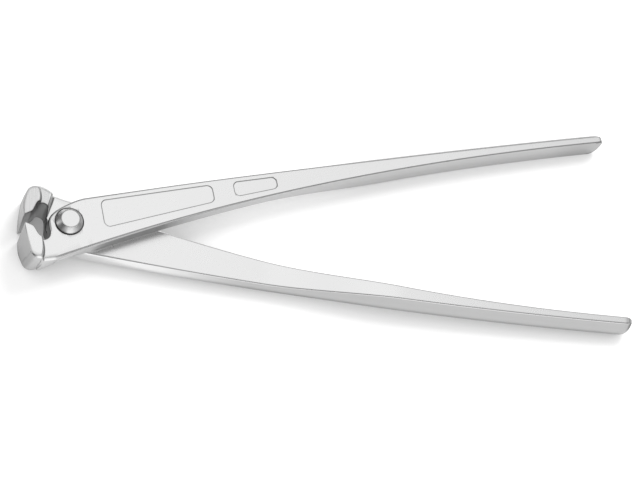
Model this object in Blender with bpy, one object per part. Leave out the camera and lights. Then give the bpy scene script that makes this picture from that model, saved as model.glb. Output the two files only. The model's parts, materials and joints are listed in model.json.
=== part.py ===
"""Rebar tying pliers: two forged steel levers, lapped flat on each other and turning on one rivet.

The origin is the middle of the flat top of the rivet's head. +Z runs out of that face along the rivet,
and +X runs back to the handle ends, along the line that halves the angle between the levers.
A lever is drawn closed, with its cutting edge on the X axis, and is then swung open about the rivet.
Its surface is carried along a strip with two sides: the palm side, which runs from the handle's end along
the outer edge, round the shoulder, and down the window to the cutting edge; and the inner side, which runs
along the edge that faces the other handle, round the corner of the jaw, and up its front.
"""
import math

import bmesh
import bpy
from mathutils import Vector

# Driving sizes of the whole tool
overall_length = 0.2990
head_reach = 0.0213
plate_thickness = 0.0086
jaw_width = 0.0248
grip_thickness = 0.0146
rest_opening = math.radians(12.0)

# Clearances, and the overrun of every cutter
lap_gap = 0.0003
bore_clearance = 0.0003
seat_gap = 0.0003
overrun = 0.0020

# Handle: the edges of its flat face, seen from above with the tool closed
shoulder_offset = 0.0100
tip_offset = 0.0214
front_bow = 0.0018
rear_bow = 0.0040
root_width = 0.0240
tip_width = 0.0026
taper_power = 2.3
palm_bulge = 0.0023
bulge_start = 0.0100
bulge_full = 0.0450
tip_round = 0.0060
tip_turn = math.radians(78.0)

# Handle: where its faces leave the level of the lap plate
top_fall_start = 0.0450
top_fall_end = 0.1650
lap_end = 0.0920
grip_start = 0.1600

# Lap plate: a rounded shoulder, a straight nose, and the window behind the jaw
plate_nose = 0.0091
shoulder_start = 0.0090
shoulder_drop = 0.0010
window_radius = 0.00355
window_drop = 0.0043
foot_drop = 0.0030
shoulder_back = 0.0020
nose_back = 0.0040

# Jaw block: the wall that stands off the other lever's plate, and the step up to the jaw's full width,
# whose two lengths are measured back from the front of the jaw
wall_head_turn = math.radians(-50.0)
wall_foot_back = 0.0058
wall_head_back = 0.0092
step_turn = math.radians(-112.0)
step_end_turn = math.radians(-124.0)
step_foot_length = 0.0070
step_top_length = 0.0061

# Jaw: its outer corner at the top and at the low end, its leaning inner face and its ground edge
corner_radius = 0.0030
corner_drop = 0.0133
corner_inset = 0.0044
low_corner_radius = 0.0039
low_corner_drop = 0.0099
low_corner_inset = 0.0049
low_corner_start = math.radians(292.6)
corner_end = math.radians(186.0)
inner_face_lean = math.radians(111.6)
inner_face_length = 0.0040
edge_land = 0.0004
edge_setback = 0.0004
front_crown = 0.0002
low_front_crown = 0.0006

# Edges of the forging
fine_edge = 0.0003
handle_edge = 0.0007
block_edge = 0.0013
block_crown = 0.0009

# Draft of the forging: how far the inner side is drawn in at its low end
plate_draft = 0.0009
wall_draft = 0.0031
step_draft = 0.0010

# Rivet
shank_radius = 0.0048
head_radius = 0.00675
face_radius = 0.0044
head_height = 0.0033
head_rim = 0.0003
back_radius = 0.0064
back_height = 0.0014
back_chamfer = 0.0008

# Panels sunk in the outer face of each lever, left bare
panel_depth = 0.0004
panel_left = 0.0158
panel_right = 0.0698
panel_palm_margin = 0.0020
panel_inner_margin = 0.0056
panel_end_margin = 0.0030
panel_corner = 0.0022
tag_left = 0.0788
tag_right = 0.1020
tag_palm_margin = 0.0021
tag_inner_margin = 0.0029
tag_end_margin = 0.0022
tag_corner = 0.0030
corner_limit_share = 0.44

# How finely curves are drawn
handle_steps = 26
tip_steps = 5
shoulder_steps = 9
nose_steps = 2
wall_steps = 3
turn_steps = 4
corner_turn_steps = 7
claw_steps = 4
palm_steps = 4
inner_steps = 3
corner_steps = 4
rivet_steps = 40
smooth_angle = math.radians(32.0)

# Colours of the plated steel
lever_colour = (0.80, 0.80, 0.80, 1.0)
rivet_colour = (0.84, 0.84, 0.84, 1.0)
plating_roughness = 0.38
rivet_roughness = 0.30

tip_reach = overall_length - head_reach
jaw_half = jaw_width / 2
grip_half = grip_thickness / 2
lap_half = lap_gap / 2
head_top = plate_thickness + seat_gap + head_height


def smooth_share(value, start, end):
    """0 before start, 1 after end, and an even S curve between them."""
    share = min(max((value - start) / (end - start), 0.0), 1.0)
    return share * share * (3 - 2 * share)


def blend(first, second, share):
    return first + (second - first) * share


def spread(first, last, steps):
    """steps + 1 even values from first to last, both included."""
    return [blend(first, last, k / steps) for k in range(steps + 1)]


def on_circle(centre, radius, angle):
    return Vector((centre.x + radius * math.cos(angle), centre.y + radius * math.sin(angle)))


def outer_edge(x, bow):
    """The palm side of the flat face: a straight line with a shallow arch of height bow."""
    share = x / tip_reach
    return blend(shoulder_offset, tip_offset, share) + 4 * bow * share * (1 - share)


def handle_width(x):
    """Width of the flat face, wide at the rivet and narrowing fast at first."""
    return tip_width + (root_width - tip_width) * (1 - x / tip_reach) ** taper_power


def inner_edge(x, bow):
    return outer_edge(x, bow) - handle_width(x)


def top_level(x):
    return blend(plate_thickness, grip_half, smooth_share(x, top_fall_start, top_fall_end))


def low_level(x):
    return blend(lap_half, -grip_half, smooth_share(x, lap_end, grip_start))


def station(palm, inner, top, low, inner_low=None, palm_edge=fine_edge, top_edge=handle_edge,
            low_edge=handle_edge, palm_crown=0.0, inner_crown=0.0, flare=1.0):
    """One rung of the strip: a point on each side, the two levels, and the form of the side walls.

    Each wall starts an edge size below the top, stands that much further out, and bulges by its crown.
    flare is 1 where the walls stand out fully and 0 where they are flush. inner_low is where the inner
    side has been drawn in to at its low end.
    """
    if inner_low is None:
        inner_low = inner
    return {"palm": palm, "inner": inner, "inner_low": inner_low, "top": top, "low": low,
            "palm_edge": palm_edge, "top_edge": top_edge, "low_edge": low_edge,
            "palm_crown": palm_crown, "inner_crown": inner_crown, "flare": flare}


def handle_stations(bow):
    """Stations from the rounded end of the handle to the shoulder."""
    stations = []
    straight_end = tip_reach - tip_round
    palm_end = outer_edge(straight_end, bow)
    inner_end = inner_edge(straight_end, bow)
    middle = (palm_end + inner_end) / 2
    for turn in spread(tip_turn, 0.0, tip_steps)[:-1]:
        x = straight_end + tip_round * math.sin(turn) / math.sin(tip_turn)
        size = math.cos(turn)
        stations.append(station(
            Vector((x, blend(middle, palm_end, size))), Vector((x, blend(middle, inner_end, size))),
            grip_half * size, -grip_half * size, palm_edge=fine_edge * size,
            top_edge=handle_edge * size, low_edge=handle_edge * size, palm_crown=palm_bulge * size))
    for x in spread(straight_end, shoulder_start, handle_steps)[:-1]:
        bulge = palm_bulge * smooth_share(x, bulge_start, bulge_full)
        stations.append(station(
            Vector((x, outer_edge(x, bow))), Vector((x, inner_edge(x, bow))),
            top_level(x), low_level(x), palm_crown=bulge))
    return stations


def head_zones(bow):
    """The head's plan curves: the palm side, and the inner side at its top and at its low end.

    They are cut into zones, with as many points on each curve.
    """
    window = Vector((-(plate_nose + window_radius), -window_drop))
    corner = Vector((corner_inset - head_reach, -corner_drop))
    low_corner = Vector((low_corner_inset - head_reach, -low_corner_drop))

    def back(first, last, steps, first_draft=0.0, last_draft=0.0):
        drafts = spread(first_draft, last_draft, steps)
        return [Vector((x, inner_edge(x, bow) + draft))
                for x, draft in zip(spread(first, last, steps), drafts)]

    def line(first, last, steps):
        return [first.lerp(last, share) for share in spread(0.0, 1.0, steps)]

    def crowned(first, last, crown):
        return [first.lerp(last, share) - Vector((4 * crown * share * (1 - share), 0.0))
                for share in spread(0.0, 1.0, 2 * claw_steps)]

    def arc(centre, radius, first, last, steps):
        return [on_circle(centre, radius, angle) for angle in spread(first, last, steps)]

    shoulder_length = shoulder_start + plate_nose
    shoulder_height = outer_edge(shoulder_start, bow) + shoulder_drop
    shoulder = [Vector((shoulder_start - shoulder_length * math.sin(turn),
                        shoulder_height * math.cos(turn) - shoulder_drop))
                for turn in spread(0.0, math.pi / 2, shoulder_steps)]
    nose = [Vector((-plate_nose, y)) for y in spread(-shoulder_drop, -foot_drop, nose_steps)]
    foot = [Vector((-plate_nose, y)) for y in (-foot_drop, -window_drop)]

    window_end = inner_face_lean - math.pi * 1.5
    face_start = on_circle(window, window_radius, window_end)
    lean = Vector((math.cos(inner_face_lean), math.sin(inner_face_lean)))
    face_end = face_start + lean * inner_face_length
    cutting_edge = Vector((edge_setback - head_reach, 0.0))
    edge_back = cutting_edge + Vector((edge_land, 0.0))
    face = line(face_start, face_end, claw_steps)
    bevel = line(face_end, edge_back, claw_steps)

    outer = -(corner_drop + corner_radius)
    wall_end = Vector((-wall_head_back, inner_edge(-wall_head_back, bow)))
    step_foot = Vector((step_foot_length - head_reach, outer))
    step_top = Vector((step_top_length - head_reach, outer))
    front = crowned(on_circle(corner, corner_radius, corner_end), cutting_edge, front_crown)

    wall_low = wall_end + Vector((0.0, wall_draft))
    foot_low = step_foot + Vector((0.0, step_draft))
    block_low = [Vector((blend(foot_low.x, wall_low.x, math.cos(turn)),
                         blend(wall_low.y, foot_low.y, math.sin(turn))))
                 for turn in spread(0.0, math.pi / 2, turn_steps)]
    claw_low = arc(low_corner, low_corner_radius, low_corner_start, corner_end, corner_turn_steps)
    front_low = crowned(claw_low[-1], cutting_edge, low_front_crown)

    return {
        "shoulder": (shoulder, back(shoulder_start, -shoulder_back, shoulder_steps),
                     back(shoulder_start, -shoulder_back, shoulder_steps, 0.0, plate_draft)),
        "nose": (nose, back(-shoulder_back, -nose_back, nose_steps),
                 back(-shoulder_back, -nose_back, nose_steps, plate_draft, plate_draft)),
        "foot": (foot, back(-nose_back, -wall_foot_back, 1),
                 back(-nose_back, -wall_foot_back, 1, plate_draft, plate_draft)),
        "wall": (arc(window, window_radius, 0.0, wall_head_turn, wall_steps),
                 back(-wall_foot_back, -wall_head_back, wall_steps),
                 back(-wall_foot_back, -wall_head_back, wall_steps, plate_draft, wall_draft)),
        "block": (arc(window, window_radius, wall_head_turn, step_turn, turn_steps),
                  line(wall_end, step_foot, turn_steps), block_low),
        "step": (arc(window, window_radius, step_turn, step_end_turn, 1),
                 [step_foot, step_top], [foot_low, claw_low[0]]),
        "claw": (arc(window, window_radius, step_end_turn, window_end, corner_turn_steps),
                 [step_top] + arc(corner, corner_radius, math.pi * 1.5, corner_end, corner_turn_steps - 1),
                 claw_low),
        "face": (face, front[:claw_steps + 1], front_low[:claw_steps + 1]),
        "bevel": (bevel, front[claw_steps:], front_low[claw_steps:]),
    }


# For each zone of the head, from its start to its end: how far the underside has sunk from the lap to the
# block, how far the block has grown to the jaw's full width, how round the outer edge is, and how far the
# walls stand out
zone_shares = {
    "shoulder": ((0, 0), (0, 0), (0.0, 0.5), (1, 1)),
    "nose": ((0, 0), (0, 0), (0.5, 0.7), (1, 1)),
    "foot": ((0, 0), (0, 0), (0.7, 0.8), (1, 1)),
    "wall": ((0, 1), (0, 0), (0.8, 1.0), (1, 1)),
    "block": ((1, 1), (0, 0), (1.0, 1.0), (1, 1)),
    "step": ((1, 1), (0, 1), (1.0, 1.0), (1, 1)),
    "claw": ((1, 1), (1, 1), (1.0, 0.0), (1, 1)),
    "face": ((1, 1), (1, 1), (0.0, 0.0), (1, 1)),
    "bevel": ((1, 1), (1, 1), (0.0, 0.0), (1, 0)),
}


def head_stations(bow):
    """Stations of the head: the plate at lap thickness, then the block behind the jaw, then the jaw."""
    stations = []
    for zone, (palm_side, inner_side, low_side) in head_zones(bow).items():
        steps = len(palm_side) - 1
        for k in range(1 if stations else 0, steps + 1):
            sunk, grown, rounded, flare = [blend(*ends, k / steps) for ends in zone_shares[zone]]
            base_edge = handle_edge if grown == 0 else fine_edge
            block_low = blend(-plate_thickness, -jaw_half, grown)
            stations.append(station(
                palm_side[k], inner_side[k],
                blend(plate_thickness, jaw_half, grown),
                blend(lap_half, block_low, smooth_share(sunk, 0.0, 1.0)), low_side[k],
                top_edge=blend(base_edge, block_edge, rounded), low_edge=base_edge,
                inner_crown=block_crown * rounded, flare=flare))
    return stations


def side_normals(points, turn):
    """Unit vectors out of the strip at each point of a side; turn is 1 for the palm side, -1 for the inner."""
    normals = []
    for k in range(len(points)):
        run = points[min(k + 1, len(points) - 1)] - points[max(k - 1, 0)]
        normals.append(Vector((run.y * turn, -run.x * turn)).normalized())
    return normals


def wall_points(ends, normals, levels, edges, crown, flare, steps):
    """Points down one side wall from its first end to its last, bulging as half a sine wave."""
    drop = math.copysign(1.0, levels[0] - levels[1])
    places = []
    for share in spread(0.0, 1.0, steps):
        out = (blend(*edges, share) + crown * math.sin(math.pi * share)) * flare
        place = blend(*ends, share) + blend(*normals, share).normalized() * out
        level = blend(levels[0] - drop * edges[0], levels[1] + drop * edges[1], share)
        places.append(Vector((place.x, place.y, level)))
    return places


def strip_mesh(name, stations):
    """Closed mesh of a lever: a ring of points round each station, joined ring to ring, with both ends capped."""
    palm_normals = side_normals([each["palm"] for each in stations], 1)
    inner_normals = side_normals([each["inner"] for each in stations], -1)
    low_normals = side_normals([each["inner_low"] for each in stations], -1)
    shape = bmesh.new()
    rings = []
    for each, palm_normal, inner_normal, low_normal in zip(
            stations, palm_normals, inner_normals, low_normals):
        palm, inner, inner_low = each["palm"], each["inner"], each["inner_low"]
        top, low, flare = each["top"], each["low"], each["flare"]
        places = [Vector((palm.x, palm.y, top)), Vector((inner.x, inner.y, top))]
        places += wall_points((inner, inner_low), (inner_normal, low_normal), (top, low),
                              (each["top_edge"], each["low_edge"]), each["inner_crown"], flare, inner_steps)
        places += [Vector((inner_low.x, inner_low.y, low)), Vector((palm.x, palm.y, low))]
        places += wall_points((palm, palm), (palm_normal, palm_normal), (low, top),
                              (each["palm_edge"], each["palm_edge"]), each["palm_crown"], flare, palm_steps)
        rings.append([shape.verts.new(place) for place in places])
    for first, second in zip(rings, rings[1:]):
        for k in range(len(first)):
            shape.faces.new((first[k - 1], first[k], second[k], second[k - 1]))
    shape.faces.new(rings[0])
    shape.faces.new(reversed(rings[-1]))
    bmesh.ops.recalc_face_normals(shape, faces=shape.faces)
    mesh = bpy.data.meshes.new(name)
    shape.to_mesh(mesh)
    shape.free()
    mesh.shade_smooth()
    mesh.set_sharp_from_angle(angle=smooth_angle)
    return mesh


def rounded_outline(corners, radius, steps):
    """A convex outline with each corner drawn as an arc, of the given radius or what the sides leave room for."""
    shortest = min((first - second).length for first, second in zip(corners, corners[1:] + corners[:1]))
    radius = min(radius, shortest * corner_limit_share)
    outline = []
    for k, corner in enumerate(corners):
        before = (corners[k - 1] - corner).normalized()
        after = (corners[(k + 1) % len(corners)] - corner).normalized()
        half = before.angle(after) / 2
        centre = corner + (before + after).normalized() * (radius / math.sin(half))
        first = corner + before * (radius / math.tan(half)) - centre
        last = corner + after * (radius / math.tan(half)) - centre
        for share in spread(0.0, 1.0, steps):
            outline.append(centre + first.slerp(last, share).normalized() * radius)
    return outline


def panel_corners(left, right, palm_margin, inner_margin, end_margin, bow):
    """The four corners of a sunk panel, kept off the two edges of the lever's flat face."""
    return [
        Vector((left, outer_edge(left, bow) - palm_margin)),
        Vector((left, inner_edge(left, bow) + inner_margin)),
        Vector((right, inner_edge(right, bow) + end_margin)),
        Vector((right, outer_edge(right, bow) - palm_margin)),
    ]


def panel_cutter(name, corners, radius):
    """A prism whose floor lies the panel's depth below the lever's face and tips with it along its length."""
    left, right = corners[0].x, corners[2].x
    shape = bmesh.new()
    floor = []
    for place in rounded_outline(corners, radius, corner_steps):
        level = blend(top_level(left), top_level(right), (place.x - left) / (right - left))
        floor.append(shape.verts.new((place.x, place.y, level - panel_depth)))
    base = shape.faces.new(floor)
    raised = bmesh.ops.extrude_face_region(shape, geom=[base])["geom"]
    lifted = [item for item in raised if isinstance(item, bmesh.types.BMVert)]
    bmesh.ops.translate(shape, verts=lifted, vec=(0.0, 0.0, panel_depth + overrun))
    bmesh.ops.recalc_face_normals(shape, faces=shape.faces)
    mesh = bpy.data.meshes.new(name)
    shape.to_mesh(mesh)
    shape.free()
    return mesh


def bore_cutter(name):
    """The rivet's hole through the lap plate."""
    shape = bmesh.new()
    radius = shank_radius + bore_clearance
    bmesh.ops.create_cone(shape, cap_ends=True, segments=rivet_steps, radius1=radius, radius2=radius,
                          depth=plate_thickness + overrun)
    bmesh.ops.translate(shape, verts=shape.verts, vec=(0.0, 0.0, plate_thickness / 2))
    mesh = bpy.data.meshes.new(name)
    shape.to_mesh(mesh)
    shape.free()
    return mesh


def plated_steel(name, colour, roughness):
    material = bpy.data.materials.new(name)
    material.use_nodes = True
    shader = material.node_tree.nodes["Principled BSDF"]
    shader.inputs["Base Color"].default_value = colour
    shader.inputs["Metallic"].default_value = 1.0
    shader.inputs["Roughness"].default_value = roughness
    return material


def place(name, mesh, parent, material=None):
    item = bpy.data.objects.new(name, mesh)
    bpy.context.collection.objects.link(item)
    item.parent = parent
    if material:
        mesh.materials.append(material)
    return item


def cut(item, cutter_name, mesh):
    """Cut a lever with a hidden solid that moves with it."""
    cutter = place(cutter_name, mesh, item)
    cutter.hide_render = True
    cutter.display_type = "WIRE"
    modifier = item.modifiers.new(cutter_name, "BOOLEAN")
    modifier.operation = "DIFFERENCE"
    modifier.object = cutter


def lever(name, bow, joint, material):
    """One forged lever with its rivet hole and its two bare panels, drawn closed on its joint's axis."""
    item = place(name, strip_mesh(name, handle_stations(bow) + head_stations(bow)), joint, material)
    panel = panel_corners(panel_left, panel_right, panel_palm_margin, panel_inner_margin,
                          panel_end_margin, bow)
    tag = panel_corners(tag_left, tag_right, tag_palm_margin, tag_inner_margin, tag_end_margin, bow)
    cut(item, name + "_bore_cutter", bore_cutter(name + "_bore_cutter"))
    cut(item, name + "_panel_cutter", panel_cutter(name + "_panel_cutter", panel, panel_corner))
    cut(item, name + "_tag_cutter", panel_cutter(name + "_tag_cutter", tag, tag_corner))
    return item


def rivet(joint, material):
    """A turned pin with a flat-topped cone for a head and a low chamfered head formed on the back."""
    under_head = plate_thickness + seat_gap
    profile = [
        (0.0, head_top), (face_radius - head_rim, head_top), (face_radius, head_top - head_rim),
        (head_radius, under_head + head_rim), (head_radius, under_head), (shank_radius, under_head),
        (shank_radius, -under_head), (back_radius, -under_head),
        (back_radius, -under_head - back_height + back_chamfer),
        (back_radius - back_chamfer, -under_head - back_height), (0.0, -under_head - back_height),
    ]
    shape = bmesh.new()
    points = [shape.verts.new((radius, 0.0, level)) for radius, level in profile]
    edges = [shape.edges.new(pair) for pair in zip(points, points[1:])]
    bmesh.ops.spin(shape, geom=points + edges, cent=(0.0, 0.0, 0.0), axis=(0.0, 0.0, 1.0),
                   angle=math.pi * 2, steps=rivet_steps, use_merge=True)
    bmesh.ops.remove_doubles(shape, verts=shape.verts, dist=lap_gap / 30)
    bmesh.ops.recalc_face_normals(shape, faces=shape.faces)
    mesh = bpy.data.meshes.new("rivet")
    shape.to_mesh(mesh)
    shape.free()
    mesh.shade_smooth()
    mesh.set_sharp_from_angle(angle=smooth_angle)
    return place("rivet", mesh, joint, material)


def build():
    for item in list(bpy.data.objects):
        bpy.data.objects.remove(item, do_unlink=True)
    lever_steel = plated_steel("lever_steel", lever_colour, plating_roughness)
    rivet_steel = plated_steel("rivet_steel", rivet_colour, rivet_roughness)
    joint = bpy.data.objects.new("joint_axis", None)
    bpy.context.collection.objects.link(joint)
    joint.location.z = -head_top
    front = lever("front_lever", front_bow, joint, lever_steel)
    front.rotation_euler.z = rest_opening / 2
    rear = lever("rear_lever", rear_bow, joint, lever_steel)
    rear.rotation_euler = (math.pi, 0.0, -rest_opening / 2)
    rivet(joint, rivet_steel)


build()
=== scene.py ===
"""Rebar tying pliers: two plated steel levers lapped on each other, and the rivet they turn on.

Every surface is worked out with numpy in a lever's own frame: +Z out of its flat face, the rivet's axis at
the origin, +X back to the handle's end, and the cutting edge on the X axis. Each lever is then swung open.
"""
import json
import math

import bmesh
import bpy
import numpy as np
from mathutils import Matrix, Vector


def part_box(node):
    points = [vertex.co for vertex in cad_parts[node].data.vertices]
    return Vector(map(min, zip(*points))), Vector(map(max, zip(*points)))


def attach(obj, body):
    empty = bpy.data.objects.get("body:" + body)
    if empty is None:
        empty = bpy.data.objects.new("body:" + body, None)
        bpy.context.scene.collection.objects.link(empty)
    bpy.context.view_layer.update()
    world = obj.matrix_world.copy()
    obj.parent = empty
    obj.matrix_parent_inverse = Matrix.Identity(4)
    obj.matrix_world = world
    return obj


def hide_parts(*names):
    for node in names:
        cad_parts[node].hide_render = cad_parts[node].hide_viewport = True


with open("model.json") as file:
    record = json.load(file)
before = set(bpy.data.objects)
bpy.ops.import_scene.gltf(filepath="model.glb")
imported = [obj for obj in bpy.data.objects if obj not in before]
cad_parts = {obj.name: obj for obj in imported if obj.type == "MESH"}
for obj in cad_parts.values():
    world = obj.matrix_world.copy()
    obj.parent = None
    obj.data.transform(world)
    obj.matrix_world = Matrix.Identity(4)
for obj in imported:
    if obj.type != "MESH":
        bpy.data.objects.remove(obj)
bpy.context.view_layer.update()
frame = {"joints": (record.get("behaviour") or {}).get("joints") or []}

bl_info = {
    "name": "Rebar Tying Pliers",
    "version": (1, 0, 0),
    "blender": (4, 5, 0),
    "location": "3D View > Sidebar > Pliers",
    "description": "Builds plated rebar tying pliers, their rivet and a plain studio round them",
    "category": "Object",
}

head_top = -frame["joints"][0]["pos_m"][2]
lever_low, lever_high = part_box("front_lever")


def length(name, default, description):
    return bpy.props.FloatProperty(
        name=name, default=default, description=description, unit="LENGTH", precision=5)


def angle(name, degrees, description):
    return bpy.props.FloatProperty(
        name=name, default=math.radians(degrees), description=description, subtype="ANGLE")


def amount(name, default, description):
    return bpy.props.FloatProperty(name=name, default=default, description=description)


def count(name, default, description):
    return bpy.props.IntProperty(name=name, default=default, description=description, min=1)


def tone(name, default, description):
    """A neutral colour, given by its linear level."""
    return bpy.props.FloatVectorProperty(
        name=name, default=(default, default, default, 1.0), description=description, subtype="COLOR",
        size=4, min=0.0, max=1.0)


class HandleSizes(bpy.types.PropertyGroup):
    """The handle: a long bar that narrows fast, with a bulging side for the palm."""
    tip_reach: length("Reach", 0.2776, "From the rivet's axis to the handle's end")
    shoulder_offset: length("Shoulder offset", 0.0100, "Palm edge above the X axis at the rivet")
    tip_offset: length("Tip offset", 0.0214, "Palm edge above the X axis at the handle's end")
    front_bow: length("Front lever bow", 0.0018, "Height of the arch in the front lever's palm edge")
    rear_bow: length("Rear lever bow", 0.0040, "Height of the arch in the rear lever's palm edge")
    root_width: length("Root width", 0.0240, "Width of the flat face at the rivet")
    tip_width: length("Tip width", 0.0031, "Width of the flat face at the handle's end")
    taper_power: amount("Taper power", 2.3, "How fast the flat face narrows near the rivet")
    palm_bulge: length("Palm bulge", 0.0023, "How far the palm side stands out at its middle")
    bulge_start: length("Bulge start", 0.0100, "Where the palm side starts to bulge")
    bulge_full: length("Bulge full", 0.0450, "Where the palm side bulges fully")
    grip_thickness: length("Grip thickness", 0.0146, "Thickness of the handle where it is held")
    fall_start: length("Fall start", 0.0450, "Where the flat face starts to fall to the grip's level")
    fall_end: length("Fall end", 0.1650, "Where the flat face has reached the grip's level")
    lap_end: length("Lap end", 0.0920, "Where the underside leaves the lap")
    grip_start: length("Grip start", 0.1600, "Where the underside has reached the grip's level")
    tip_face_round: length("Tip face round", 0.0026, "Length over which the flat face falls at the end")
    tip_face_power: amount("Tip face fullness", 1.5, "1 for a straight bevel there, 2 for an ellipse")
    tip_low_round: length("Tip low round", 0.0052, "Length over which the underside rises at the end")
    tip_low_power: amount("Tip low fullness", 2.4, "2 for an ellipse, more for a blunter end")
    tip_plan_round: length("Tip plan round", 0.0050, "Length over which the end is rounded in plan")
    tip_plan_power: amount("Tip plan fullness", 1.6, "1 for a pointed end in plan, 2 for an elliptical one")
    tip_bulge_round: length("Tip bulge round", 0.0030, "Length over which the palm side's bulge dies out")
    tip_level: amount("Tip level", -0.05, "Level of the very end, as a share of half the grip's thickness")
    tip_side: amount("Tip side", 0.15, "Place of the very end, as a share of the width from the inner edge")
    opening: angle("Opening", 12.0, "Angle between the levers at rest")


class HeadSizes(bpy.types.PropertyGroup):
    """The head: lap plate, window, block and jaw."""
    plate_thickness: length("Plate thickness", 0.0086, "Thickness of one lap plate")
    lap_gap: length("Lap gap", 0.0003, "Between the two lap plates")
    head_reach: length("Head reach", 0.0213, "From the rivet's axis to the front of the jaws")
    jaw_width: length("Jaw width", lever_high.z - lever_low.z, "Width of the cutting edges")
    plate_nose: length("Plate nose", 0.0091, "From the rivet's axis to the plate's straight nose")
    shoulder_start: length("Shoulder start", 0.0090, "Where the rounded shoulder starts")
    shoulder_lead: length("Shoulder lead", 0.0037, "How far the shoulder follows the palm edge")
    nose_lead: length("Nose lead", 0.0055, "How far above the nose the shoulder's round corner pulls")
    nose_rise: length("Nose rise", 0.0006, "Where the shoulder's round ends, above the X axis")
    window_radius: length("Window radius", 0.00355, "Round end of the window behind the jaws")
    window_drop: length("Window drop", 0.0043, "Centre of the window's round end, below the X axis")
    foot_drop: length("Foot drop", 0.0030, "Where the nose ends, below the X axis")
    shoulder_back: length("Shoulder back", 0.0020, "Inner side at the shoulder's end")
    nose_back: length("Nose back", 0.0040, "Inner side at the nose's end")
    wall_foot_back: length("Wall foot", 0.0062, "Foot of the wall beside the other lever's plate")
    wall_head_back: length("Wall head", 0.0087, "Head of that wall")
    wall_head_turn: angle("Wall head turn", -44.0, "Where the wall's head meets the window's round end")
    step_turn: angle("Step turn", -105.0, "Where the step's foot meets the window's round end")
    step_end_turn: angle("Step end turn", -118.0, "Where the step's top meets the window's round end")
    step_bow: length("Step bow", 0.0006, "How far the step is bowed back across the jaw")
    step_foot: length("Step foot", 0.0067, "From the front of the jaw back to the step's foot")
    step_top: length("Step top", 0.0058, "From the front of the jaw back to the step's top")
    corner_radius: length("Corner radius", 0.0030, "Outer corner of the jaw, at the flat side")
    corner_drop: length("Corner drop", 0.0133, "Centre of that corner, below the X axis")
    corner_inset: length("Corner inset", 0.0044, "Centre of that corner, behind the front of the jaw")
    low_radius: length("Low corner radius", 0.0039, "Outer corner of the jaw, at its low end")
    low_drop: length("Low corner drop", 0.0099, "Centre of the low corner, below the X axis")
    low_inset: length("Low corner inset", 0.0049, "Centre of the low corner, behind the front of the jaw")
    low_start: angle("Low corner start", 292.6, "Where the low corner starts to turn")
    corner_end: angle("Corner end", 186.0, "Where both corners end")
    face_lean: angle("Inner face lean", 111.6, "Direction of the jaw's inner face")
    face_length: length("Inner face", 0.0040, "Length of the jaw's inner face before its ground bevel")
    edge_land: length("Edge land", 0.0004, "Width of the cutting edge")
    edge_setback: length("Edge setback", 0.0004, "Cutting edge behind the front of the jaw")
    front_crown: length("Front crown", 0.0002, "How far the jaw's front is arched, at the flat side")
    low_front_crown: length("Low front crown", 0.0006, "How far the jaw's front is arched, at its low end")
    plate_draft: length("Plate draft", 0.0009, "How far the plate's inner side is drawn in below")
    wall_draft: length("Wall draft", 0.0037, "How far the block's inner side is drawn in below")
    step_draft: length("Step draft", 0.0010, "How far the step's outer end is drawn in below")
    block_crown: length("Block crown", 0.0009, "How far the outer side of the block is arched")
    block_power: amount("Block fullness", 1.25, "1 for a straight low edge, 2 for a quarter ellipse")
    edge_softening: count("Jaw softening", 14, "Passes that soften the corner at the jaw's bevel")


class EdgeSizes(bpy.types.PropertyGroup):
    """How round the edges are left by the forging dies and the tumbling."""
    fine: length("Fine edge", 0.0003, "Edges of the jaw and the window")
    palm: length("Palm edge", 0.0008, "Edge of the palm side where the handle is held")
    shoulder: length("Shoulder edge", 0.0010, "Edge of the shoulder and the nose")
    shoulder_fade: length("Shoulder edge fade", 0.0600, "Where that edge has narrowed to the palm's")
    inner: length("Inner edge", 0.0004, "Edge of the inner side where the handle is held")
    plate: length("Plate edge", 0.0010, "Edge of the inner side at the lap plate")
    plate_fade: length("Plate edge fade", 0.1200, "Where that edge has narrowed to the handle's")
    block: length("Block edge", 0.0013, "Edge of the block's outer side")
    step_round: length("Step round", 0.0012, "Height over which the step's foot and top are rounded")
    softening: count("Softening", 6, "Passes that soften the corners of the head's plan")
    panel_depth: length("Panel depth", 0.00028, "Depth of the sunk panels")
    panel_wall: length("Panel wall", 0.00014, "How far a panel's wall leans back over its depth")
    # The line along the foot of a panel's wall is darkened by the crease mark as painted shade
    panel_line: length("Panel line", 0.00028, "Width of the dull line along the foot of a panel's wall")
    recess_depth: length("Recess depth", 0.00045, "Depth of the machined recess under the rivet's head")
    recess_margin: length("Recess margin", 0.0003, "Ring of the recess that shows round the rivet's head")


class PanelSizes(bpy.types.PropertyGroup):
    """The two bare panels sunk in the flat face of each lever."""
    long_left: length("Long panel start", 0.0158, "End of the long panel near the rivet")
    long_right: length("Long panel end", 0.0698, "Other end of the long panel")
    long_palm: length("Long panel palm margin", 0.0020, "From the palm edge to the panel")
    long_inner: length("Long panel inner margin", 0.0056, "From the inner edge to the end near the rivet")
    long_end: length("Long panel end margin", 0.0030, "From the inner edge to the other end")
    long_corner: length("Long panel corner", 0.0028, "Corner radius of the long panel")
    short_left: length("Short panel start", 0.0799, "End of the short panel near the rivet")
    short_right: length("Short panel end", 0.1017, "Other end of the short panel")
    short_palm: length("Short panel palm margin", 0.0021, "From the palm edge to the panel")
    short_inner: length("Short panel inner margin", 0.0029, "From the inner edge to the end near the rivet")
    short_end: length("Short panel end margin", 0.0022, "From the inner edge to the other end")
    short_corner: length("Short panel corner", 0.0026, "Corner radius of the short panel")


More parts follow.
